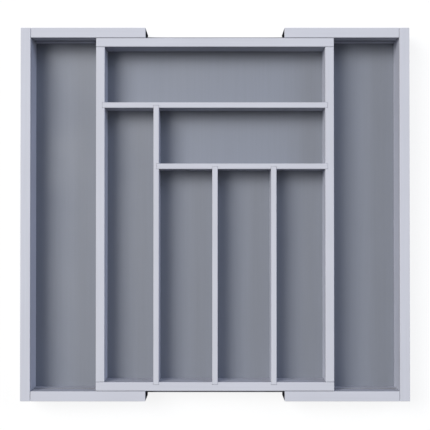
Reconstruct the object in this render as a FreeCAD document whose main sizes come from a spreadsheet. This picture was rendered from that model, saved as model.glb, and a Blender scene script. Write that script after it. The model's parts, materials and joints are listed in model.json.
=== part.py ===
import FreeCAD, Part
import os
import re
import Sketcher

# A wooden cutlery tray for a drawer. A centre tray of six compartments stands between two side
# trays, which slide out of it to the left and to the right. The arms of the side trays run along the
# centre tray's front and back walls and carry it on two slide rails, and their floors run under it.
# X goes across the drawer, Y to its back and Z up. The origin is on the drawer's bottom, in the
# middle of the tray, which is drawn with both side trays pulled out.

# Driving dimensions, in millimetres.
SIZES = {
    # The tray as a whole
    "tray_depth": 430,
    "rim_height": 50,
    "centre_width": 274,
    "pull_out": 75.5,  # clear width of a side compartment
    "arm_length": 132.5,
    # Boards
    "side_board": 11.5,
    "centre_board": 10,
    "divider_board": 6.3,
    "edge_round": 1,
    # Compartments
    "row_depth": 64.2,  # clear depth of each crosswise compartment
    "divider_pitch": 67.7,
    "dado_depth": 3,
    # Floor panels
    "panel": 3,
    "panel_lip": 3,  # wood below a panel
    "panel_let_in": 3.5,
    # Slide rails
    "rail_middle": 25,
    "rail_height": 6,
    "rail_out": 4.5,
    "rail_let_in": 4.5,
    "rail_setback": 1,
    "strip_round": 0.5,
    # Stop battens
    "stop_width": 8,
    "stop_setback": 3,
    # Corner dowels
    "dowel_diameter": 6,
    "dowel_in_face": 6.5,
    "dowel_in_end": 19.5,
    "dowel_tip": 0.8,
    "flute_diameter": 0.8,
    # Clearances
    "slide_gap": 0.5,  # between the centre tray and the arms
    "lift_gap": 0.5,  # between the centre tray and the floors that run under it
    "rail_gap": 0.3,
    "stop_gap": 0.3,
    "glue_gap": 0.1,
    "groove_relief": 0.5,  # beyond the edge or tip of what is let in
    "dowel_gap": 0.05,
    # How far a cut runs past the board that it opens
    "overrun": 2,
}

# Places that follow from those dimensions. Depths and widths are measured from the middle of the
# tray and heights from the drawer's bottom.
PLACES = {
    # Arms of the side trays, and the centre tray's end walls between them
    "arm_outer": "tray_depth / 2",
    "arm_inner": "arm_outer - side_board",
    "end_outer": "arm_inner - slide_gap",
    "end_inner": "end_outer - centre_board",
    # The centre tray's flanks, and the side walls outside them
    "flank_outer": "centre_width / 2",
    "flank_inner": "flank_outer - centre_board",
    "side_inner": "flank_outer + pull_out",
    "side_outer": "side_inner + side_board",
    "arm_tip": "side_inner - arm_length",
    # Floors
    "side_floor_low": "panel_lip",
    "side_floor_top": "side_floor_low + panel",
    "centre_low": "side_floor_top + lift_gap",
    "centre_floor_low": "centre_low + panel_lip",
    "centre_floor_top": "centre_floor_low + panel",
    "panel_groove": "panel_let_in + groove_relief",
    # Slide rails
    "rail_low": "rail_middle - rail_height / 2",
    "rail_high": "rail_middle + rail_height / 2",
    "rail_inner": "end_outer - rail_let_in",
    "rail_outer": "end_outer + rail_out",
    "rail_end": "flank_outer - rail_setback",
    # Dividers
    "divider_tongue": "dado_depth - glue_gap",
    "full_cross_back": "end_inner - row_depth",
    "full_cross_front": "full_cross_back - divider_board",
    "short_cross_back": "full_cross_front - row_depth",
    "short_cross_front": "short_cross_back - divider_board",
    "long_divider_right": "divider_board / 2 - divider_pitch",
    # Stop battens
    "stop_outer": "flank_inner - stop_gap",
    "stop_inner": "stop_outer - stop_width",
    "stop_top": "centre_floor_low - lift_gap",
    "stop_end": "end_inner - stop_setback",
    # Corner dowels
    "dowel_length": "dowel_in_face + dowel_in_end",
    "dowel_shift": "(dowel_in_face - dowel_in_end) / 2",
    "bore_length": "dowel_length + 2 * groove_relief",
    "bore_diameter": "dowel_diameter + 2 * dowel_gap",
    "dowel_low": "(centre_floor_top + rail_low) / 2",
    "dowel_high": "(rail_high + rim_height) / 2",
    "flank_middle": "(flank_inner + flank_outer) / 2",
    "arm_middle": "(arm_inner + arm_outer) / 2",
}

SIZE_HOMES = dict.fromkeys(SIZES, "sizes.")
ALL_HOMES = SIZE_HOMES | dict.fromkeys(PLACES, "places.")

FLUTE_COUNT = 8
DOWEL_HEIGHTS = ("dowel_low", "dowel_high")
SIDES = (("left", -1), ("right", 1))
ENDS = (("front", -1), ("back", 1))

doc = FreeCAD.newDocument("cutlery_tray")


def spelled(formula, homes):
    """Put its sheet's name before each size or place that a formula names."""
    return re.sub("[a-z_]+", lambda word: homes.get(word[0], "") + word[0], formula)


def fill_sheet(name, cells):
    """Write named cells to a sheet: plain numbers, or formulas in the cells above them."""
    sheet = doc.addObject("Spreadsheet::Sheet", name)
    for row, (word, cell) in enumerate(cells.items(), 1):
        sheet.set(f"A{row}", word)
        sheet.set(f"B{row}", cell)
        sheet.setAlias(f"B{row}", word)
    doc.recompute()


def bind(thing, name, formula):
    """Tie a property to a formula in sizes and places."""
    thing.setExpression(name, spelled(formula, ALL_HOMES))


def mirrored(sign, near, far):
    """The span from near to far on the positive side of the middle, or its mirror image."""
    return (near, far) if sign > 0 else (f"-({far})", f"-({near})")


def both_ways(reach):
    """The span that reaches as far to one side of the middle as to the other."""
    return f"-({reach})", reach


def about(middle, breadth):
    """The span of a given breadth about a middle."""
    return f"{middle} - {breadth} / 2", f"{middle} + {breadth} / 2"


def widened(span, room):
    """A span with room added at both ends."""
    return f"{span[0]} - {room}", f"{span[1]} + {room}"


def sketch_on(body, role, name):
    """A new sketch on one of a body's own origin planes."""
    sketch = body.newObject("Sketcher::SketchObject", name)
    plane = next(feature for feature in body.Origin.OriginFeatures if feature.Role == role)
    sketch.AttachmentSupport = (plane, [""])
    sketch.MapMode = "FlatFace"
    return sketch


def constrain(sketch, name, formula, *terms):
    """Add a dimension to a sketch and tie it to a formula."""
    sketch.renameConstraint(sketch.addConstraint(Sketcher.Constraint(*terms)), name)
    bind(sketch, f"Constraints.{name}", formula)


def draw_rectangle(sketch, along, across):
    """Draw a rectangle from the sketch's origin, as long and as wide as the formulas say."""
    corners = [FreeCAD.Vector(*corner) for corner in ((0, 0), (1, 0), (1, 1), (0, 1))]
    for start, end in zip(corners, corners[1:] + corners[:1]):
        sketch.addGeometry(Part.LineSegment(start, end), False)
    for line in range(4):
        sketch.addConstraint(Sketcher.Constraint("Coincident", line, 2, (line + 1) % 4, 1))
        sketch.addConstraint(Sketcher.Constraint("Vertical" if line % 2 else "Horizontal", line))
    sketch.addConstraint(Sketcher.Constraint("Coincident", 0, 1, -1, 1))
    constrain(sketch, "along", along, "DistanceX", 0, 1, 0, 2, 1)
    constrain(sketch, "across", across, "DistanceY", 1, 1, 1, 2, 1)


def draw_circle(sketch, diameter):
    """Draw a circle about the sketch's origin."""
    sketch.addGeometry(Part.Circle(FreeCAD.Vector(), FreeCAD.Vector(0, 0, 1), 1), False)
    sketch.addConstraint(Sketcher.Constraint("Coincident", 0, 3, -1, 1))
    constrain(sketch, "diameter", diameter, "Diameter", 0, 1)


class Board:
    """A board, strip or panel: a body whose own origin is its low, left, front corner."""

    def __init__(self, label, x, y, z, easing=None):
        self.body = doc.addObject("PartDesign::Body", label)
        self.corner = (x[0], y[0], z[0])
        for axis, place in zip("xyz", self.corner):
            bind(self.body, f"Placement.Base.{axis}", place)
        blank = self.add_block("PartDesign::Pad", "blank", x, y, z)
        if easing:
            eased = self.body.newObject("PartDesign::Fillet", "eased_edges")
            eased.Base = (blank, [""])
            eased.UseAllEdges = True
            bind(eased, "Radius", easing)

    def add_block(self, kind, name, x, y, z):
        """Pad or pocket the block between the given places of the tray."""
        sketch = sketch_on(self.body, "XY_Plane", f"{name}_outline")
        for axis, span, start in zip("xyz", (x, y, z), self.corner):
            bind(sketch, f"AttachmentOffset.Base.{axis}", f"({span[0]}) - ({start})")
        draw_rectangle(sketch, f"({x[1]}) - ({x[0]})", f"({y[1]}) - ({y[0]})")
        block = self.body.newObject(kind, name)
        block.Profile = sketch
        block.Reversed = kind == "PartDesign::Pocket"
        bind(block, "Length", f"({z[1]}) - ({z[0]})")
        return block

    def cut(self, name, x, y, z):
        """Cut away the block between the given places of the tray."""
        return self.add_block("PartDesign::Pocket", name, x, y, z)

    def bore(self, x, y, z, along):
        """Bore a dowel hole whose middle is at the given place, along X or Y."""
        sketch = sketch_on(self.body, {"x": "YZ_Plane", "y": "XZ_Plane"}[along], "bore_outline")
        own = dict(zip("xyz", (f"({place}) - ({start})" for place, start in zip((x, y, z), self.corner))))
        offset = {"x": (own["y"], own["z"], own["x"]), "y": (own["x"], own["z"], f"-({own['y']})")}[along]
        for axis, place in zip("xyz", offset):
            bind(sketch, f"AttachmentOffset.Base.{axis}", place)
        draw_circle(sketch, "bore_diameter")
        hole = self.body.newObject("PartDesign::Pocket", "dowel_bore")
        hole.Profile = sketch
        hole.SideType = "Symmetric"
        bind(hole, "Length", "bore_length")


def centre_corner(x_sign, y_sign):
    """Middles of the two dowels in a corner of the centre tray, which lie along Y."""
    middle = "end_inner + dowel_shift"
    across = mirrored(x_sign, "flank_middle", "flank_middle")[0]
    back = mirrored(y_sign, middle, middle)[0]
    return [(across, back, height) for height in DOWEL_HEIGHTS]


def side_corner(x_sign, y_sign):
    """Middles of the two dowels in a corner of a side tray, which lie along X."""
    middle = "side_inner + dowel_shift"
    across = mirrored(x_sign, middle, middle)[0]
    back = mirrored(y_sign, "arm_middle", "arm_middle")[0]
    return [(across, back, height) for height in DOWEL_HEIGHTS]


def centre_end(end, sign, divider_middles):
    """The centre tray's back or front wall: floor groove, rail groove, dadoes and dowel holes."""
    x = both_ways("flank_outer")
    wall = Board(f"centre_{end}_wall", x, mirrored(sign, "end_inner", "end_outer"),
                 ("centre_low", "rim_height"), "edge_round")
    wall.cut("floor_groove", both_ways("flank_inner + panel_groove"),
             mirrored(sign, "end_inner - overrun", "end_inner + panel_groove"),
             widened(("centre_floor_low", "centre_floor_top"), "glue_gap"))
    wall.cut("rail_groove", widened(x, "overrun"),
             mirrored(sign, "rail_inner - glue_gap", "end_outer + overrun"),
             widened(("rail_low", "rail_high"), "glue_gap"))
    for middle in divider_middles:
        wall.cut("dado", widened(about(middle, "divider_board"), "glue_gap"),
                 mirrored(sign, "end_inner - overrun", "end_inner + dado_depth"),
                 ("centre_floor_top", "rim_height + overrun"))
    for _, x_sign in SIDES:
        for place in centre_corner(x_sign, sign):
            wall.bore(*place, along="y")
    return wall.body


def centre_flank(side, sign, divider_spans):
    """The centre tray's left or right wall: floor groove, dadoes and dowel holes."""
    y = both_ways("end_inner")
    wall = Board(f"centre_{side}_wall", mirrored(sign, "flank_inner", "flank_outer"), y,
                 ("centre_low", "rim_height"), "edge_round")
    wall.cut("floor_groove", mirrored(sign, "flank_inner - overrun", "flank_inner + panel_groove"),
             widened(y, "overrun"), widened(("centre_floor_low", "centre_floor_top"), "glue_gap"))
    for span in divider_spans:
        wall.cut("dado", mirrored(sign, "flank_inner - overrun", "flank_inner + dado_depth"),
                 widened(span, "glue_gap"), ("centre_floor_top", "rim_height + overrun"))
    for _, y_sign in ENDS:
        for place in centre_corner(sign, y_sign):
            wall.bore(*place, along="y")
    return wall.body


def centre_floor():
    """The centre tray's floor panel."""
    return Board("centre_floor", both_ways("flank_inner + panel_let_in"),
                 both_ways("end_inner + panel_let_in"), ("centre_floor_low", "centre_floor_top")).body


def dividers(cross_spans, divider_middles):
    """The five dividers, each let into dadoes at both ends."""
    height = ("centre_floor_top", "rim_height")
    dado_height = ("centre_floor_top", "rim_height + overrun")
    full_span, short_span = cross_spans
    long_span = about(divider_middles[0], "divider_board")
    front_end = "-(end_inner + divider_tongue)"

    full = Board("full_cross_divider", both_ways("flank_inner + divider_tongue"), full_span, height,
                 "edge_round")
    full.cut("dado", widened(long_span, "glue_gap"),
             ("full_cross_front - overrun", "full_cross_front + dado_depth"), dado_height)

    long_way = Board("long_divider", long_span, (front_end, "full_cross_front + divider_tongue"), height,
                     "edge_round")
    long_way.cut("dado", ("long_divider_right - dado_depth", "long_divider_right + overrun"),
                 widened(short_span, "glue_gap"), dado_height)

    short = Board("short_cross_divider",
                  ("long_divider_right - divider_tongue", "flank_inner + divider_tongue"), short_span, height,
                  "edge_round")
    bodies = [full.body, long_way.body, short.body]
    for label, middle in zip(("middle_divider", "right_divider"), divider_middles[1:]):
        span = about(middle, "divider_board")
        short.cut("dado", widened(span, "glue_gap"),
                  ("short_cross_front - overrun", "short_cross_front + dado_depth"), dado_height)
        bodies.append(Board(label, span, (front_end, "short_cross_front + divider_tongue"), height,
                            "edge_round").body)
    return bodies


def slide_rail(end, sign):
    """A strip let into the centre tray's back or front wall, which runs in the arms' grooves."""
    return Board(f"{end}_slide_rail", both_ways("rail_end"), mirrored(sign, "rail_inner", "rail_outer"),
                 ("rail_low", "rail_high"), "strip_round").body


def side_wall(side, sign):
    """The outer wall of a side tray, over its whole depth: floor groove and dowel holes."""
    wall = Board(f"{side}_side_wall", mirrored(sign, "side_inner", "side_outer"), both_ways("arm_outer"),
                 ("0", "rim_height"), "edge_round")
    wall.cut("floor_groove", mirrored(sign, "side_inner - overrun", "side_inner + panel_groove"),
             both_ways("arm_inner + panel_groove"),
             widened(("side_floor_low", "side_floor_top"), "glue_gap"))
    for _, y_sign in ENDS:
        for place in side_corner(sign, y_sign):
            wall.bore(*place, along="x")
    return wall.body


def side_arm(side, sign, end, y_sign):
    """An arm of a side tray: floor groove, the groove that the slide rail runs in, and dowel holes."""
    x = mirrored(sign, "arm_tip", "side_inner")
    arm = Board(f"{side}_{end}_arm", x, mirrored(y_sign, "arm_inner", "arm_outer"), ("0", "rim_height"),
                "edge_round")
    grooves = (
        ("floor_groove", "arm_inner + panel_groove",
         widened(("side_floor_low", "side_floor_top"), "glue_gap")),
        ("slide_groove", "rail_outer + groove_relief", widened(("rail_low", "rail_high"), "rail_gap")),
    )
    for name, bottom, z in grooves:
        arm.cut(name, widened(x, "overrun"), mirrored(y_sign, "arm_inner - overrun", bottom), z)
    for place in side_corner(sign, y_sign):
        arm.bore(*place, along="x")
    return arm.body


def side_floor(side, sign):
    """The floor panel of a side tray, from the side wall to the tips of the arms."""
    return Board(f"{side}_floor", mirrored(sign, "arm_tip", "side_inner + panel_let_in"),
                 both_ways("arm_inner + panel_let_in"), ("side_floor_low", "side_floor_top")).body


def stop_batten(side, sign):
    """A strip on a side tray's floor, which meets the centre tray's flank at the end of the slide."""
    return Board(f"{side}_stop_batten", mirrored(sign, "stop_inner", "stop_outer"), both_ways("stop_end"),
                 ("side_floor_top", "stop_top"), "strip_round").body


def fluted_dowel():
    """One dowel along Z about its middle, with chamfered tips and glue flutes."""
    body = doc.addObject("PartDesign::Body", "dowel")
    outline = sketch_on(body, "XY_Plane", "dowel_outline")
    draw_circle(outline, "dowel_diameter")
    stick = body.newObject("PartDesign::Pad", "stick")
    stick.Profile = outline
    stick.SideType = "Symmetric"
    bind(stick, "Length", "dowel_length")
    doc.recompute()
    tips = body.newObject("PartDesign::Chamfer", "tips")
    rims = [n for n, edge in enumerate(stick.Shape.Edges, 1) if isinstance(edge.Curve, Part.Circle)]
    tips.Base = (stick, [f"Edge{n}" for n in rims])
    bind(tips, "Size", "dowel_tip")
    flute_outline = sketch_on(body, "XY_Plane", "flute_outline")
    bind(flute_outline, "AttachmentOffset.Base.x", "dowel_diameter / 2")
    draw_circle(flute_outline, "flute_diameter")
    flute = body.newObject("PartDesign::Pocket", "flute")
    flute.Profile = flute_outline
    flute.Type = "ThroughAll"
    flute.SideType = "Symmetric"
    flutes = body.newObject("PartDesign::PolarPattern", "flutes")
    flutes.Originals = [flute]
    axis = next(feature for feature in body.Origin.OriginFeatures if feature.Role == "Z_Axis")
    flutes.Axis = (axis, [""])
    flutes.Angle = 360
    flutes.Occurrences = FLUTE_COUNT
    body.Tip = flutes
    return body


def dowel_group(label, dowel, middles, along):
    """Copies of the dowel at the given places, as one group of separate solids."""
    turn = FreeCAD.Rotation(FreeCAD.Vector(0, 0, 1), FreeCAD.Vector(*along))
    copies = []
    for middle in middles:
        copy = doc.addObject("App::Link", f"{label}_copy")
        copy.LinkedObject = dowel
        copy.Placement = FreeCAD.Placement(FreeCAD.Vector(), turn)
        for axis, place in zip("xyz", middle):
            bind(copy, f"Placement.Base.{axis}", place)
        copies.append(copy)
    group = doc.addObject("Part::Compound", label)
    group.Links = copies
    return group


def centre_tray(dowel):
    """All pieces of the centre tray."""
    cross_spans = (("full_cross_front", "full_cross_back"), ("short_cross_front", "short_cross_back"))
    divider_middles = ("-divider_pitch", "0", "divider_pitch")
    pieces = [centre_end("front", -1, divider_middles), centre_end("back", 1, ())]
    pieces.append(centre_flank("left", -1, cross_spans[:1]))
    pieces.append(centre_flank("right", 1, cross_spans))
    pieces.append(centre_floor())
    pieces += dividers(cross_spans, divider_middles)
    pieces += [slide_rail(end, sign) for end, sign in ENDS]
    corners = [place for _, x_sign in SIDES for _, y_sign in ENDS for place in centre_corner(x_sign, y_sign)]
    pieces.append(dowel_group("centre_corner_dowels", dowel, corners, (0, 1, 0)))
    return pieces


def side_tray(side, sign, dowel):
    """All pieces of one side tray."""
    pieces = [side_wall(side, sign)]
    pieces += [side_arm(side, sign, end, y_sign) for end, y_sign in ENDS]
    pieces.append(side_floor(side, sign))
    pieces.append(stop_batten(side, sign))
    corners = [place for _, y_sign in ENDS for place in side_corner(sign, y_sign)]
    pieces.append(dowel_group(f"{side}_corner_dowels", dowel, corners, (1, 0, 0)))
    return pieces


def check(pieces):
    """Stop if a step failed, a cut took nothing away or a piece has no sound shape."""
    for thing in doc.Objects:
        if {"Invalid", "Error"} & set(thing.State):
            raise RuntimeError(f"{thing.Label} failed: {thing.State}")
        if thing.isDerivedFrom("PartDesign::Pocket") and thing.Shape.Volume >= thing.BaseFeature.Shape.Volume:
            raise RuntimeError(f"{thing.Label} takes nothing away")
    for piece in pieces:
        if piece.Shape.isNull() or not piece.Shape.isValid() or not piece.Shape.Solids:
            raise RuntimeError(f"{piece.Label} has no sound shape")


def write(pieces):
    """Write each piece to its own file."""
    os.makedirs("parts", exist_ok=True)
    for piece in pieces:
        piece.Shape.exportStep(f"parts/{piece.Label}.step")
        box = piece.Shape.BoundBox
        spans = f"{box.XLength:.1f} x {box.YLength:.1f} x {box.ZLength:.1f}"
        print(f"{piece.Label}: {len(piece.Shape.Solids)} solids, {spans} mm")


def main():
    fill_sheet("sizes", {word: str(size) for word, size in SIZES.items()})
    fill_sheet("places", {word: "=" + spelled(formula, SIZE_HOMES) for word, formula in PLACES.items()})
    dowel = fluted_dowel()
    pieces = centre_tray(dowel)
    for side, sign in SIDES:
        pieces += side_tray(side, sign, dowel)
    doc.recompute()
    check(pieces)
    write(pieces)


main()
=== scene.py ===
import itertools
import json
import math

import bpy
from bpy.props import FloatProperty, FloatVectorProperty, PointerProperty
from bpy.types import Operator, Panel, PropertyGroup
from mathutils import Euler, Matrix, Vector


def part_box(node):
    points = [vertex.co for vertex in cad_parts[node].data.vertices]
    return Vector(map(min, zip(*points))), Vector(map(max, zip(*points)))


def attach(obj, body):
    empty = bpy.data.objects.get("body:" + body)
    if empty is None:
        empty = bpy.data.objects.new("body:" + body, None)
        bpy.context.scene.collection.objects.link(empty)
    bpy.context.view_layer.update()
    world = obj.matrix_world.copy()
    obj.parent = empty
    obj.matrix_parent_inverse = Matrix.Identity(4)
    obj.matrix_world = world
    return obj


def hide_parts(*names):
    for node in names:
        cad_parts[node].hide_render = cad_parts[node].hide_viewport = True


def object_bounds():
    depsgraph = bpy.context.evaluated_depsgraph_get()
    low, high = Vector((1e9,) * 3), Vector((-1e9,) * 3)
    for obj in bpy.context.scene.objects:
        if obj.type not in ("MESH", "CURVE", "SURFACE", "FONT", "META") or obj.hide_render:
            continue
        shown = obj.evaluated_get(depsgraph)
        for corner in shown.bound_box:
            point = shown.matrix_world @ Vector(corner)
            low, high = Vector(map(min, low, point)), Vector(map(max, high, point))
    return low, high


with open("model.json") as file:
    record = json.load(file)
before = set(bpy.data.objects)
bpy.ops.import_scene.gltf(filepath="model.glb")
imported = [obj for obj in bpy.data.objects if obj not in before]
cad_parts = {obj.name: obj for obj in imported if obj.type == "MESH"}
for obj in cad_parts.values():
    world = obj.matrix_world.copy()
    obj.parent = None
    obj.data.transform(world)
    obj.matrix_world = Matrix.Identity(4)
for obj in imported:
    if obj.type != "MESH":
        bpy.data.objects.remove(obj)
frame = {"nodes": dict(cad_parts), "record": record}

bl_info = {
    "name": "Widening cutlery tray",
    "version": (1, 0, 0),
    "blender": (4, 5, 0),
    "location": "View3D > Sidebar > Cutlery Tray",
    "description": "Builds the painted boards and floors of a cutlery tray whose side trays slide out",
    "category": "Object",
}

CAD_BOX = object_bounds()
MM = 0.001
TOUCH = 0.01 * MM
EASING_STEPS = 4
BORE_SIDES = 48
BORE_PLACES = 5
SMOOTH_ANGLE = math.radians(35.0)
STUDIO_WIDTH = 4.0
STUDIO_DROP = 0.2 * MM
SENSOR_WIDTH = 36.0
ALONG_X = 0
ALONG_Y = 1
NO_SEAMS = ((0.0, 0.0, 0.0), (0.0, 0.0, 0.0))
OTHER_END = {"front": "back", "back": "front"}

# The dividers that stand in a dado in each wall or divider, and the rail that is let into each end wall.
DADOES = {
    "centre_front_wall": ("long_divider", "middle_divider", "right_divider"),
    "centre_left_wall": ("full_cross_divider",),
    "centre_right_wall": ("full_cross_divider", "short_cross_divider"),
    "full_cross_divider": ("long_divider",),
    "long_divider": ("short_cross_divider",),
    "short_cross_divider": ("middle_divider", "right_divider"),
}
LET_IN_RAIL = {"centre_front_wall": "front_slide_rail", "centre_back_wall": "back_slide_rail"}

# The axis that each tray's dowels lie along, and the turn that lays a hole along it.
DOWEL_AXES = {"centre": ALONG_Y, "left": ALONG_X, "right": ALONG_X}
BORE_TURNS = {ALONG_X: (0.0, math.pi / 2, 0.0), ALONG_Y: (math.pi / 2, 0.0, 0.0)}

# Textures of the finishes: spots to the metre, and what they do to tone, height and roughness.
NOISE_DETAIL = 3.0
NOISE_LIMITS = (0.3, 0.7)
GRAIN_SPOTS = 420.0
GRAIN_DRAW = 0.02
GRAIN_TONE = (0.975, 1.015)
PORE_SPOTS = 1500.0
PORE_LIMITS = (0.2, 0.4)
PORE_HEIGHT = (-0.3, 0.0)
CLOUD_SPOTS = 14.0
CLOUD_TONE = (0.98, 1.02)
SPRAY_SPOTS = 1400.0
SPRAY_HEIGHT = (0.0, 0.15)
# Lighter eased edges: partly paint worn thin, partly a painted highlight along the edges.
RUBBED_HIGHLIGHT_TONE = (0.06, 0.14)
RIM_DEPTHS = (1.0 * MM, 0.4 * MM)
PAINT_BUMP = 0.35
FIBRE_SPOTS = 900.0
FIBRE_RELIEF = 0.05 * MM
FIBRE_BUMP = 0.4
FLECK_TONE = 0.72
ROUGHNESS_SPREAD = 0.06
DARK_END_ROUGHNESS = 0.9
DARK_END_SHEEN = 0.0
BEECH_ROUGHNESS = 0.68
BEECH_SHEEN = 0.3


class TrayWoodwork(PropertyGroup):
    """Sizes of the finishing work on the boards"""

    easing: FloatProperty(
        name="Eased edge", description="How far the edges of walls and dividers are rounded",
        default=0.6 * MM, min=0.1 * MM, max=2.0 * MM, precision=4, unit="LENGTH")
    strip_easing: FloatProperty(
        name="Eased strip edge", description="How far the edges of rails and battens are rounded",
        default=0.5 * MM, min=0.1 * MM, max=1.0 * MM, precision=4, unit="LENGTH")
    panel_easing: FloatProperty(
        name="Eased panel edge", description="How far the edges of the floor panels are rounded",
        default=0.4 * MM, min=0.1 * MM, max=1.0 * MM, precision=4, unit="LENGTH")
    seam: FloatProperty(
        name="Glue seam", description="Room round a board where it is let into another",
        default=0.1 * MM, min=0.0, max=0.5 * MM, precision=5, unit="LENGTH")
    butt_seam: FloatProperty(
        name="Butt seam", description="Shadow gap where the end of a board meets another board",
        default=0.3 * MM, min=0.0, max=1.0 * MM, precision=5, unit="LENGTH")
    groove_relief: FloatProperty(
        name="Groove relief", description="Room beyond the edge of a panel or a rail in its groove",
        default=0.5 * MM, min=0.0, max=2.0 * MM, precision=5, unit="LENGTH")
    dowel_diameter: FloatProperty(
        name="Dowel diameter", description="Diameter of the corner dowels",
        default=6.0 * MM, min=2.0 * MM, max=12.0 * MM, precision=4, unit="LENGTH")
    dowel_length: FloatProperty(
        name="Dowel length", description="Length of the corner dowels",
        default=26.0 * MM, min=10.0 * MM, max=60.0 * MM, precision=4, unit="LENGTH")
    rail_play: FloatProperty(
        name="Rail play", description="Room above and below a slide rail in its groove",
        default=0.3 * MM, min=0.0, max=1.0 * MM, precision=5, unit="LENGTH")
    overrun: FloatProperty(
        name="Overrun", description="How far a cut runs past the board that it opens",
        default=2.0 * MM, min=0.5 * MM, max=10.0 * MM, precision=4, unit="LENGTH")


class TrayFinish(PropertyGroup):
    """Colours and surface of the paint and the bare wood"""

    # The sides of all boards take this paint, a touch bluer than the rims: painted shade.
    wall_colour: FloatVectorProperty(
        name="Wall paint", description="Paint on walls, dividers and battens",
        subtype="COLOR", size=3, min=0.0, max=1.0, default=(0.530, 0.540, 0.608))
    # Painted shade: the boards that run across get darker paint, for the shade on their faces that look to
    # the front and the back.
    crosswise_painted_shade: FloatProperty(
        name="Crosswise painted shade", description="Painted shade on the boards that run across, as a tone beside the rest",
        default=0.86, min=0.0, max=1.0, subtype="FACTOR")
    # Painted light: the top 1 mm of every board takes this colour. It is less blue than the sides, and
    # lighter than the sides of boards that run across.
    lit_rim_colour: FloatVectorProperty(
        name="Lit rim", description="Paint on the rims of the boards, in painted light beside their sides",
        subtype="COLOR", size=3, min=0.0, max=1.0, default=(0.535, 0.537, 0.577))
    floor_colour: FloatVectorProperty(
        name="Floor paint", description="Paint on the floor panels",
        subtype="COLOR", size=3, min=0.0, max=1.0, default=(0.172, 0.185, 0.218))
    # Painted shade: a darker grey on the slide rails and in their grooves, standing in for the shade that
    # falls there.
    slide_shade_colour: FloatVectorProperty(
        name="Slide shade", description="Darker grey on the slide rails and in their grooves, as painted shade",
        subtype="COLOR", size=3, min=0.0, max=1.0, default=(0.22, 0.22, 0.245))
    end_colour: FloatVectorProperty(
        name="Dark free end", description="Near-black colour on the free ends of the arms",
        subtype="COLOR", size=3, min=0.0, max=1.0, default=(0.022, 0.023, 0.026))
    beech_colour: FloatVectorProperty(
        name="Beech", description="Bare wood of the dowels",
        subtype="COLOR", size=3, min=0.0, max=1.0, default=(0.60, 0.42, 0.26))
    wall_roughness: FloatProperty(
        name="Wall roughness", description="Roughness of the paint on the walls",
        default=0.6, min=0.0, max=1.0, subtype="FACTOR")
    wall_sheen: FloatProperty(
        name="Wall sheen", description="Strength of the reflections in the paint on the walls",
        default=0.15, min=0.0, max=1.0, subtype="FACTOR")
    floor_roughness: FloatProperty(
        name="Floor roughness", description="Roughness of the paint on the floors",
        default=0.5, min=0.0, max=1.0, subtype="FACTOR")
    floor_sheen: FloatProperty(
        name="Floor sheen", description="Strength of the reflections in the paint on the floors",
        default=0.5, min=0.0, max=1.0, subtype="FACTOR")
    grain_relief: FloatProperty(
        name="Grain relief", description="Height of the wood grain that shows through the paint",
        default=0.03 * MM, min=0.0, max=0.5 * MM, precision=6, unit="LENGTH")


class TrayStage(PropertyGroup):
    """Camera, lamps and floor"""

    camera_height: FloatProperty(
        name="Camera height", description="Height of the camera above the floor",
        default=1.384, min=0.5, max=5.0, unit="LENGTH")
    camera_set_back: FloatProperty(
        name="Camera set back", description="How far the camera stands in front of the middle",
        default=17.4 * MM, min=-0.5, max=0.5, precision=4, unit="LENGTH")
    camera_tilt: FloatProperty(
        name="Camera tilt", description="How far the camera leans from looking straight down",
        default=math.radians(0.705), subtype="ANGLE")
    camera_lens: FloatProperty(
        name="Lens", description="Focal length on a sensor 36 mm wide",
        default=97.1, min=10.0, max=300.0, unit="CAMERA")
    softbox_distance: FloatProperty(
        name="Softbox distance", description="How far the softboxes stand from the tray",
        default=10.0, min=1.0, max=50.0, unit="LENGTH")
    key_width: FloatProperty(
        name="Key width", description="Width of the key softbox, from low on the left to above the tray",
        default=5.5, min=0.1, max=10.0, unit="LENGTH")
    key_depth: FloatProperty(
        name="Key depth", description="Depth of the key softbox, from the front to the back",
        default=4.6, min=0.1, max=20.0, unit="LENGTH")
    key_tilt: FloatProperty(
        name="Key tilt", description="How far the key softbox stands from straight above",
        default=math.radians(31.0), subtype="ANGLE")
    key_turn: FloatProperty(
        name="Key turn", description="How far the key softbox is turned from the right to the back",
        default=math.radians(151.8), subtype="ANGLE")
    key_power: FloatProperty(
        name="Key power", description="Power of the key softbox on the left",
        default=1074.0, min=0.0, max=5000.0, unit="POWER")
    fill_size: FloatProperty(
        name="Fill size", description="Width of the broad softbox on the right",
        default=5.9, min=0.1, max=20.0, unit="LENGTH")
    fill_tilt: FloatProperty(
        name="Fill tilt", description="How far the fill softbox stands from straight above",
        default=math.radians(45.0), subtype="ANGLE")
    fill_turn: FloatProperty(
        name="Fill turn", description="How far the fill softbox is turned from the right to the back",
        default=math.radians(25.0), subtype="ANGLE")
    fill_power: FloatProperty(
        name="Fill power", description="Power of the cool softbox on the right",
        default=434.0, min=0.0, max=5000.0, unit="POWER")
    fill_colour: FloatVectorProperty(
        name="Fill colour", description="Light of the cool softbox on the right",
        subtype="COLOR", size=3, min=0.0, max=1.0, default=(0.70, 0.79, 1.0))
    floor_bounce: FloatProperty(
        name="Floor bounce", description="How much light the floor gives back to the tray",
        default=0.8, min=0.0, max=1.0, subtype="FACTOR")
    floor_shadow: FloatProperty(
        name="Floor shadow", description="How much the tray's shadow darkens the white floor",
        default=0.13, min=0.0, max=1.0, subtype="FACTOR")
    world_light: FloatProperty(
        name="World light", description="Even light from all round",
        default=0.02, min=0.0, max=2.0, subtype="FACTOR")


def make_active(piece):
    """Select one piece alone."""
    bpy.ops.object.select_all(action="DESELECT")
    piece.select_set(True)
    bpy.context.view_layer.objects.active = piece


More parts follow.
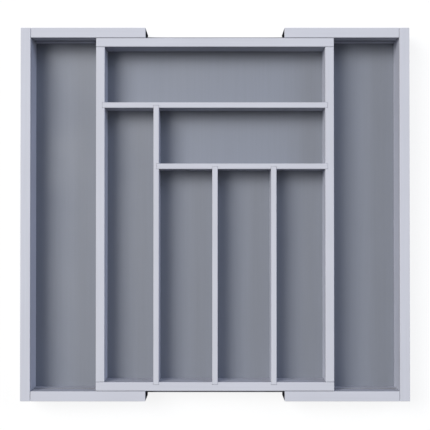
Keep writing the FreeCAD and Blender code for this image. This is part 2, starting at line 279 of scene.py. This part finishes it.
def add_block(name, low, high):
    """Add a block between two corners, with its place in its mesh."""
    bpy.ops.object.select_all(action="DESELECT")
    bpy.ops.mesh.primitive_cube_add(size=1.0, location=(low + high) / 2, scale=high - low)
    bpy.ops.object.transform_apply(location=True, rotation=True, scale=True)
    block = bpy.context.object
    block.name = name
    return block


def ease_edges(width):
    """Round all edges of the active block, as sanding does."""
    bpy.ops.object.mode_set(mode="EDIT")
    bpy.ops.mesh.select_all(action="SELECT")
    bpy.ops.mesh.bevel(offset=width, segments=EASING_STEPS, affect="EDGES")
    bpy.ops.object.mode_set(mode="OBJECT")


def cut_away(board, cutter):
    """Cut another shape out of a board, and remove that shape."""
    make_active(board)
    cut = board.modifiers.new("cut", "BOOLEAN")
    cut.operation = "DIFFERENCE"
    cut.solver = "EXACT"
    cut.object = cutter
    bpy.ops.object.modifier_apply(modifier=cut.name)
    bpy.data.objects.remove(cutter)


def add_bore(middle, along, sizes):
    """Add the shape of a dowel hole along X or Y, with room for glue at its ends."""
    bpy.ops.object.select_all(action="DESELECT")
    bpy.ops.mesh.primitive_cylinder_add(
        vertices=BORE_SIDES, radius=sizes.dowel_diameter / 2 + sizes.seam,
        depth=sizes.dowel_length + 2 * sizes.groove_relief, location=middle, rotation=BORE_TURNS[along])
    bpy.ops.object.transform_apply(location=True, rotation=True, scale=True)
    return bpy.context.object


def mark_arrises(board, low, high, width):
    """Store how near each point is to the ridge of an eased edge, from 0 on the flats to 1."""
    marks = board.data.attributes.new("arris", "FLOAT", "POINT")
    for point, mark in zip(board.data.vertices, marks.data):
        depths = sorted(min(point.co[axis] - low[axis], high[axis] - point.co[axis]) for axis in range(3))
        mark.value = 1.0 - min(max(depths[1], 0.0) / width, 1.0)


def shade(board):
    """Shade the eased edges smooth and keep the broad faces flat."""
    make_active(board)
    bpy.ops.object.shade_smooth_by_angle(angle=SMOOTH_ANGLE)
    weighted = board.modifiers.new("weighted", "WEIGHTED_NORMAL")
    weighted.keep_sharp = True
    bpy.ops.object.modifier_apply(modifier=weighted.name)


def shape_board(node, easing, cuts, finish, seams=NO_SEAMS, bores=()):
    """Make a board the size of a node, less its seams: a block with eased edges, cuts and dowel holes."""
    low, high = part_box(node)
    low, high = low + Vector(seams[0]), high - Vector(seams[1])
    board = add_block(node, low, high)
    ease_edges(easing)
    for corners in cuts:
        cut_away(board, add_block("cutter", *corners))
    for bore in bores:
        cut_away(board, add_bore(*bore))
    mark_arrises(board, low, high, easing)
    shade(board)
    board.data.materials.append(finish)
    return board


def copied(board):
    """Copy a board with its own mesh, and leave the copy selected."""
    make_active(board)
    bpy.ops.object.duplicate(linked=False)
    return bpy.context.object


def turned_copy(board):
    """Copy a board and turn the copy half round the middle of the tray."""
    copy = copied(board)
    bpy.ops.transform.rotate(value=math.pi, orient_axis="Z", center_override=(0.0, 0.0, 0.0))
    bpy.ops.object.transform_apply(location=True, rotation=True, scale=True)
    return copy


def shifted_copy(board, shift):
    """Copy a board and shift the copy."""
    copy = copied(board)
    bpy.ops.transform.translate(value=shift)
    bpy.ops.object.transform_apply(location=True, rotation=True, scale=True)
    return copy


def fit(board, node):
    """Put a board in the place of a node: it takes over its body."""
    board.name = f"{node}_painted"
    board.data.name = board.name
    behaviour = frame["record"]["behaviour"]
    body = next(body for body, nodes in behaviour["bodies"].items() if node in nodes)
    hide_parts(node)
    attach(board, body)


def fit_both(board, node, node_across):
    """Fit a board, and a copy turned half round for the node across the tray."""
    copy = turned_copy(board)
    fit(board, node)
    fit(copy, node_across)


def grow_box(box, room):
    """A box with the same room on every side."""
    return box[0] - Vector((room, room, room)), box[1] + Vector((room, room, room))


def grown(node, room):
    """A node's box with room on every side, given for X, Y and Z."""
    low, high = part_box(node)
    return low - Vector(room), high + Vector(room)


def dado(divider, sizes):
    """The cut that a divider stands in, open at the rim."""
    low, high = grown(divider, (sizes.seam, sizes.seam, 0.0))
    return low, high + Vector((0.0, 0.0, sizes.overrun))


def panel_groove(panel, sizes):
    """The groove that the edges of a floor panel run in."""
    return grown(panel, (sizes.groove_relief, sizes.groove_relief, sizes.seam))


def rail_seat(rail, sizes):
    """The groove that a slide rail is glued into, past both ends of the wall."""
    return grown(rail, (sizes.overrun, sizes.seam, sizes.seam))


def rail_run(rail, sizes):
    """The groove that a slide rail runs in, from end to end of an arm."""
    return grown(rail, (CAD_BOX[1][0], sizes.groove_relief, sizes.rail_play))


def dowel_bores(node, tray, sizes):
    """The dowel holes that run into a node: the dowels lie in the corners of the box round them all."""
    low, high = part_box(f"{tray}_corner_dowels")
    along = DOWEL_AXES[tray]
    reach = [sizes.dowel_diameter / 2] * len(low)
    reach[along] = sizes.dowel_length / 2
    low, high = low + Vector(reach), high - Vector(reach)
    places = [sorted({round(end, BORE_PLACES) for end in ends}) for ends in zip(low, high)]
    board_low, board_high = (corner + way * Vector(reach) for corner, way in zip(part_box(node), (-1, 1)))
    return [
        (middle, along, sizes) for middle in itertools.product(*places)
        if all(start < place < stop for start, place, stop in zip(board_low, middle, board_high))]


class Shader:
    """A node tree, with short calls to add nodes and join them."""

    def __init__(self, tree):
        self.tree = tree
        self.tree.nodes.clear()

    def add(self, kind, inputs, **settings):
        """Add a node, set or link its inputs, and return its outputs."""
        node = self.tree.nodes.new(kind)
        for name, value in settings.items():
            setattr(node, name, value)
        for name, value in inputs.items():
            if isinstance(value, bpy.types.NodeSocket):
                self.tree.links.new(value, node.inputs[name])
            else:
                node.inputs[name].default_value = value
        return node.outputs

    def maths(self, operation, first, second, clamp=False):
        """One sum of two values."""
        return self.add("ShaderNodeMath", {0: first, 1: second}, operation=operation, use_clamp=clamp)[0]

    def between(self, value, span, limits=NOISE_LIMITS):
        """Draw a value out from its limits to a span."""
        ends = {"From Min": limits[0], "From Max": limits[1], "To Min": span[0], "To Max": span[1]}
        return self.add("ShaderNodeMapRange", {"Value": value, **ends})["Result"]

    def mixed(self, factor, first, second, blend="MIX"):
        """Mix two colours."""
        mix = self.add("ShaderNodeMix", {}, data_type="RGBA", blend_type=blend)
        sockets = {socket.identifier: socket for socket in mix[0].node.inputs}
        for name, value in (("Factor_Float", factor), ("A_Color", first), ("B_Color", second)):
            if isinstance(value, bpy.types.NodeSocket):
                self.tree.links.new(value, sockets[name])
            else:
                sockets[name].default_value = value
        return next(socket for socket in mix if socket.identifier == "Result_Color")

    def noise(self, spots, stretch=(1.0, 1.0, 1.0)):
        """Noise with a number of spots to the metre, stretched along an axis."""
        place = self.add("ShaderNodeTexCoord", {})["Object"]
        place = self.add("ShaderNodeMapping", {"Vector": place, "Scale": stretch})["Vector"]
        settings = {"Vector": place, "Scale": spots, "Detail": NOISE_DETAIL}
        return self.add("ShaderNodeTexNoise", settings)["Fac"]

    def rim(self):
        """1 on the rim of the tray, and 0 a little way below it."""
        place = self.add("ShaderNodeTexCoord", {})["Object"]
        height = self.add("ShaderNodeSeparateXYZ", {"Vector": place})["Z"]
        return self.between(height, (0.0, 1.0), [CAD_BOX[1][2] - depth for depth in RIM_DEPTHS])

    def seen(self):
        """1 where the camera sees a surface, also in a reflection or through glass, and 0 in its light."""
        path = self.add("ShaderNodeLightPath", {})
        mirrored = self.maths("ADD", path["Is Camera Ray"], path["Is Glossy Ray"])
        return self.maths("ADD", mirrored, path["Is Transmission Ray"], clamp=True)


def grey_tone(level):
    """A grey as a colour."""
    return (level, level, level, 1.0)


def new_material(name):
    """A new material and its shader."""
    material = bpy.data.materials.new(name)
    material.use_nodes = True
    return material, Shader(material.node_tree)


def spread(roughness):
    """The span that a roughness varies in."""
    return roughness - ROUGHNESS_SPREAD, roughness + ROUGHNESS_SPREAD


def painted(name, finish, colour, roughness, sheen, grain_axis):
    """Satin paint on wood: faint grain, sprayed texture, rims in painted light, and edges worn lighter with
    a painted highlight.
    """
    material, shader = new_material(name)
    along = [1.0, 1.0, 1.0]
    along[grain_axis] = GRAIN_DRAW
    grain = shader.noise(GRAIN_SPOTS, along)
    pores = shader.noise(PORE_SPOTS, along)
    cloud = shader.noise(CLOUD_SPOTS)
    spray = shader.noise(SPRAY_SPOTS)
    tone = shader.maths("MULTIPLY", shader.between(grain, GRAIN_TONE), shader.between(cloud, CLOUD_TONE))
    arris = shader.add("ShaderNodeAttribute", {}, attribute_name="arris")["Fac"]
    # The edges are lightened: partly worn paint, partly painted highlight.
    rubbed_highlight = shader.maths("MULTIPLY", arris, shader.between(cloud, RUBBED_HIGHLIGHT_TONE))
    tone = shader.maths("ADD", tone, rubbed_highlight)
    # The rims take their own colour as painted light, beside sides that hold painted shade.
    coat = shader.mixed(shader.rim(), (*colour, 1.0), (*finish.lit_rim_colour, 1.0))
    paint = shader.mixed(1.0, coat, tone, "MULTIPLY")
    height = shader.maths("ADD", grain, shader.between(spray, SPRAY_HEIGHT))
    height = shader.maths("ADD", height, shader.between(pores, PORE_HEIGHT, PORE_LIMITS))
    bump = shader.add("ShaderNodeBump", {
        "Strength": PAINT_BUMP, "Distance": finish.grain_relief, "Height": height})
    gloss = shader.maths("SUBTRACT", shader.between(cloud, spread(roughness)), rubbed_highlight)
    surface = shader.add("ShaderNodeBsdfPrincipled", {
        "Base Color": paint, "Roughness": gloss, "Specular IOR Level": sheen, "Normal": bump["Normal"]})
    shader.add("ShaderNodeOutputMaterial", {"Surface": surface["BSDF"]})
    return material


def plain_wood(name, colour, roughness, sheen):
    """Wood without paint: fine fibres, darker flecks and a dull surface."""
    material, shader = new_material(name)
    fibres = shader.noise(FIBRE_SPOTS)
    fleck = [FLECK_TONE * part for part in colour]
    wood = shader.mixed(shader.between(fibres, (0.0, 1.0)), (*fleck, 1.0), (*colour, 1.0))
    bump = shader.add("ShaderNodeBump", {
        "Strength": FIBRE_BUMP, "Distance": FIBRE_RELIEF, "Height": fibres})
    gloss = shader.between(shader.noise(CLOUD_SPOTS), spread(roughness))
    surface = shader.add("ShaderNodeBsdfPrincipled", {
        "Base Color": wood, "Roughness": gloss, "Specular IOR Level": sheen, "Normal": bump["Normal"]})
    shader.add("ShaderNodeOutputMaterial", {"Surface": surface["BSDF"]})
    return material


def wall_paint(finish, node):
    """The walls' paint, with its grain along the board, and darker on boards that run across as painted
    shade.
    """
    low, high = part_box(node)
    crosswise = high.x - low.x > high.y - low.y
    name = f"wall_paint_{'crosswise' if crosswise else 'lengthwise'}"
    axis = ALONG_X if crosswise else ALONG_Y
    # Boards that run across take a darker paint: painted shade.
    tone = finish.crosswise_painted_shade if crosswise else 1.0
    colour = [tone * part for part in finish.wall_colour]
    return bpy.data.materials.get(name) or painted(
        name, finish, colour, finish.wall_roughness, finish.wall_sheen, axis)


def primer(finish):
    """The darker grey on what slides: painted shade."""
    return bpy.data.materials.get("primer") or painted(
        "primer", finish, finish.slide_shade_colour, finish.wall_roughness, finish.wall_sheen, ALONG_X)


def shade_groove(arm, groove, finish):
    """Give the groove that a slide rail runs in the darker grey of painted shade."""
    arm.data.materials.append(primer(finish))
    inside = len(arm.data.materials) - 1
    low, high = grow_box(groove, TOUCH)
    for face in arm.data.polygons:
        if all(low[axis] < face.center[axis] < high[axis] for axis in range(3)):
            face.material_index = inside


def darken_free_end(arm, node, finish):
    """Darken the end of an arm that points at the middle of the tray."""
    darkened = bpy.data.materials.get("sealed_end") or plain_wood(
        "sealed_end", finish.end_colour, DARK_END_ROUGHNESS, DARK_END_SHEEN)
    arm.data.materials.append(darkened)
    end = len(arm.data.materials) - 1
    low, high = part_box(node)
    free_end = high.x if abs(high.x) < abs(low.x) else low.x
    for face in arm.data.polygons:
        if abs(face.center.x - free_end) < TOUCH:
            face.material_index = end


class TRAY_OT_centre_walls(Operator):
    """Make the centre tray's four walls, with their dadoes, grooves and dowel holes"""

    bl_idname = "tray.centre_walls"
    bl_label = "Centre Walls"

    def execute(self, context):
        sizes, finish = context.scene.tray_woodwork, context.scene.tray_finish
        for end in ("front", "back", "left", "right"):
            node = f"centre_{end}_wall"
            cuts = [panel_groove("centre_floor", sizes)]
            cuts += [dado(divider, sizes) for divider in DADOES.get(node, ())]
            if node in LET_IN_RAIL:
                cuts.append(rail_seat(LET_IN_RAIL[node], sizes))
            seam = (0.0, 0.0 if node in LET_IN_RAIL else sizes.butt_seam, 0.0)
            bores = dowel_bores(node, "centre", sizes)
            fit(shape_board(node, sizes.easing, cuts, wall_paint(finish, node), (seam, seam), bores), node)
        return {"FINISHED"}


class TRAY_OT_dividers(Operator):
    """Make the five dividers, each let into its neighbours"""

    bl_idname = "tray.dividers"
    bl_label = "Dividers"

    def execute(self, context):
        sizes, finish = context.scene.tray_woodwork, context.scene.tray_finish
        for node in ("full_cross_divider", "long_divider", "short_cross_divider"):
            cuts = [dado(divider, sizes) for divider in DADOES[node]]
            fit(shape_board(node, sizes.easing, cuts, wall_paint(finish, node)), node)
        middle = shape_board("middle_divider", sizes.easing, (), wall_paint(finish, "middle_divider"))
        right = shifted_copy(middle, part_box("right_divider")[0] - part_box("middle_divider")[0])
        fit(middle, "middle_divider")
        fit(right, "right_divider")
        return {"FINISHED"}


class TRAY_OT_slide_rails(Operator):
    """Make the two strips that the side trays slide on"""

    bl_idname = "tray.slide_rails"
    bl_label = "Slide Rails"

    def execute(self, context):
        sizes, finish = context.scene.tray_woodwork, context.scene.tray_finish
        node = "front_slide_rail"
        rail = shape_board(node, sizes.strip_easing, (), primer(finish))
        fit_both(rail, node, "back_slide_rail")
        return {"FINISHED"}


class TRAY_OT_side_walls(Operator):
    """Make the side trays' outer walls, with their floor grooves and dowel holes"""

    bl_idname = "tray.side_walls"
    bl_label = "Side Walls"

    def execute(self, context):
        sizes, finish = context.scene.tray_woodwork, context.scene.tray_finish
        node = "left_side_wall"
        cuts = [panel_groove("left_floor", sizes)]
        bores = dowel_bores(node, "left", sizes)
        wall = shape_board(node, sizes.easing, cuts, wall_paint(finish, node), bores=bores)
        fit_both(wall, node, "right_side_wall")
        return {"FINISHED"}


class TRAY_OT_side_arms(Operator):
    """Make the side trays' four arms, with their grooves for floors and rails, and their dowel holes"""

    bl_idname = "tray.side_arms"
    bl_label = "Side Arms"

    def execute(self, context):
        sizes, finish = context.scene.tray_woodwork, context.scene.tray_finish
        for end, end_across in OTHER_END.items():
            node = f"left_{end}_arm"
            groove = rail_run(f"{end}_slide_rail", sizes)
            seams = ((sizes.butt_seam, 0.0, 0.0), (0.0, 0.0, 0.0))
            cuts = [panel_groove("left_floor", sizes), groove]
            bores = dowel_bores(node, "left", sizes)
            arm = shape_board(node, sizes.easing, cuts, wall_paint(finish, node), seams, bores)
            shade_groove(arm, groove, finish)
            darken_free_end(arm, node, finish)
            fit_both(arm, node, f"right_{end_across}_arm")
        return {"FINISHED"}


class TRAY_OT_floor_panels(Operator):
    """Make the three floor panels"""

    bl_idname = "tray.floor_panels"
    bl_label = "Floor Panels"

    def execute(self, context):
        sizes, finish = context.scene.tray_woodwork, context.scene.tray_finish
        paint = painted(
            "floor_paint", finish, finish.floor_colour, finish.floor_roughness, finish.floor_sheen, ALONG_Y)
        fit(shape_board("centre_floor", sizes.panel_easing, (), paint), "centre_floor")
        fit_both(shape_board("left_floor", sizes.panel_easing, (), paint), "left_floor", "right_floor")
        return {"FINISHED"}


class TRAY_OT_stop_battens(Operator):
    """Make the battens that stop the side trays when they are pulled out"""

    bl_idname = "tray.stop_battens"
    bl_label = "Stop Battens"

    def execute(self, context):
        sizes, finish = context.scene.tray_woodwork, context.scene.tray_finish
        node = "left_stop_batten"
        batten = shape_board(node, sizes.strip_easing, (), wall_paint(finish, node))
        fit_both(batten, node, "right_stop_batten")
        return {"FINISHED"}


class TRAY_OT_corner_dowels(Operator):
    """Give the fluted corner dowels their bare wood"""

    bl_idname = "tray.corner_dowels"
    bl_label = "Corner Dowels"

    def execute(self, context):
        colour = context.scene.tray_finish.beech_colour
        beech = plain_wood("bare_beech", colour, BEECH_ROUGHNESS, BEECH_SHEEN)
        for tray in DOWEL_AXES:
            for slot in frame["nodes"][f"{tray}_corner_dowels"].material_slots:
                slot.material = beech
        return {"FINISHED"}


def add_softbox(stage, name, width, length, colour=(1.0, 1.0, 1.0)):
    """Add a lamp that faces the tray, tilted from straight above and turned from the right."""
    lamp = bpy.data.lights.new(f"{name}_softbox", "AREA")
    lamp.shape = "RECTANGLE"
    lamp.size = width
    lamp.size_y = length
    lamp.energy = getattr(stage, f"{name}_power")
    lamp.color = colour
    softbox = bpy.data.objects.new(lamp.name, lamp)
    turned = Euler((0.0, getattr(stage, f"{name}_tilt"), getattr(stage, f"{name}_turn"))).to_matrix()
    softbox.location = turned @ Vector((0.0, 0.0, stage.softbox_distance))
    softbox.rotation_euler = turned.to_euler()
    bpy.context.scene.collection.objects.link(softbox)


def add_floor(stage):
    """Add the white floor, which lights the tray from below and keeps its shadow."""
    bpy.ops.object.select_all(action="DESELECT")
    bpy.ops.mesh.primitive_plane_add(size=STUDIO_WIDTH, location=(0.0, 0.0, CAD_BOX[0][2] - STUDIO_DROP))
    floor = bpy.context.object
    floor.name = "studio_floor"
    material, shader = new_material("studio_floor")
    seen = shader.seen()
    bounce, shadow = (grey_tone(level) for level in (stage.floor_bounce, stage.floor_shadow))
    matt = shader.add("ShaderNodeBsdfDiffuse", {"Color": shader.mixed(seen, bounce, shadow)})["BSDF"]
    white = shader.maths("MULTIPLY", seen, 1.0 - stage.floor_shadow)
    glow = shader.add("ShaderNodeEmission", {"Strength": white})["Emission"]
    both = shader.add("ShaderNodeAddShader", {0: matt, 1: glow})["Shader"]
    shader.add("ShaderNodeOutputMaterial", {"Surface": both})
    floor.data.materials.append(material)


def light_world(stage):
    """Light the tray evenly from all round, with a white backdrop."""
    world = bpy.data.worlds.new("studio")
    world.use_nodes = True
    shader = Shader(world.node_tree)
    strength = shader.between(shader.seen(), (stage.world_light, 1.0), (0.0, 1.0))
    backdrop = shader.add("ShaderNodeBackground", {"Color": (1.0, 1.0, 1.0, 1.0), "Strength": strength})
    shader.add("ShaderNodeOutputWorld", {"Surface": backdrop["Background"]})
    bpy.context.scene.world = world


def add_camera(stage):
    """Add the camera above the tray."""
    lens = bpy.data.cameras.new("overhead")
    lens.lens = stage.camera_lens
    lens.sensor_width = SENSOR_WIDTH
    camera = bpy.data.objects.new("overhead", lens)
    camera.location = (0.0, -stage.camera_set_back, stage.camera_height)
    camera.rotation_euler = (stage.camera_tilt, 0.0, 0.0)
    bpy.context.scene.collection.objects.link(camera)
    bpy.context.scene.camera = camera


class TRAY_OT_stage(Operator):
    """Set up the floor, the lamps and the camera"""

    bl_idname = "tray.stage"
    bl_label = "Stage"

    def execute(self, context):
        stage = context.scene.tray_stage
        add_floor(stage)
        light_world(stage)
        add_softbox(stage, "key", stage.key_width, stage.key_depth)
        add_softbox(stage, "fill", stage.fill_size, stage.fill_size, stage.fill_colour)
        add_camera(stage)
        context.scene.view_settings.view_transform = "Standard"
        return {"FINISHED"}


SETTINGS = {"tray_woodwork": TrayWoodwork, "tray_finish": TrayFinish, "tray_stage": TrayStage}
OPERATORS = (
    TRAY_OT_centre_walls,
    TRAY_OT_dividers,
    TRAY_OT_slide_rails,
    TRAY_OT_side_walls,
    TRAY_OT_side_arms,
    TRAY_OT_floor_panels,
    TRAY_OT_stop_battens,
    TRAY_OT_corner_dowels,
    TRAY_OT_stage,
)


class TRAY_PT_panel(Panel):
    """Lists the tray's pieces and settings"""

    bl_label = "Cutlery Tray"
    bl_idname = "TRAY_PT_panel"
    bl_space_type = "VIEW_3D"
    bl_region_type = "UI"
    bl_category = "Cutlery Tray"

    def draw(self, context):
        for operator in OPERATORS:
            self.layout.operator(operator.bl_idname)
        for name, settings in SETTINGS.items():
            box = self.layout.box()
            for prop in settings.__annotations__:
                box.prop(getattr(context.scene, name), prop)


def register():
    """Register the add-on's classes, and hang its settings on the scene."""
    for cls in (*SETTINGS.values(), *OPERATORS, TRAY_PT_panel):
        bpy.utils.register_class(cls)
    for name, settings in SETTINGS.items():
        setattr(bpy.types.Scene, name, PointerProperty(type=settings))


def unregister():
    """Take the settings off the scene, and unregister the add-on's classes."""
    for name in SETTINGS:
        delattr(bpy.types.Scene, name)
    for cls in (TRAY_PT_panel, *OPERATORS, *SETTINGS.values()):
        bpy.utils.unregister_class(cls)


def main():
    """Build all pieces and the stage in order."""
    register()
    for operator in OPERATORS:
        group, name = operator.bl_idname.split(".")
        getattr(getattr(bpy.ops, group), name)()


if __name__ == "__main__":
    main()
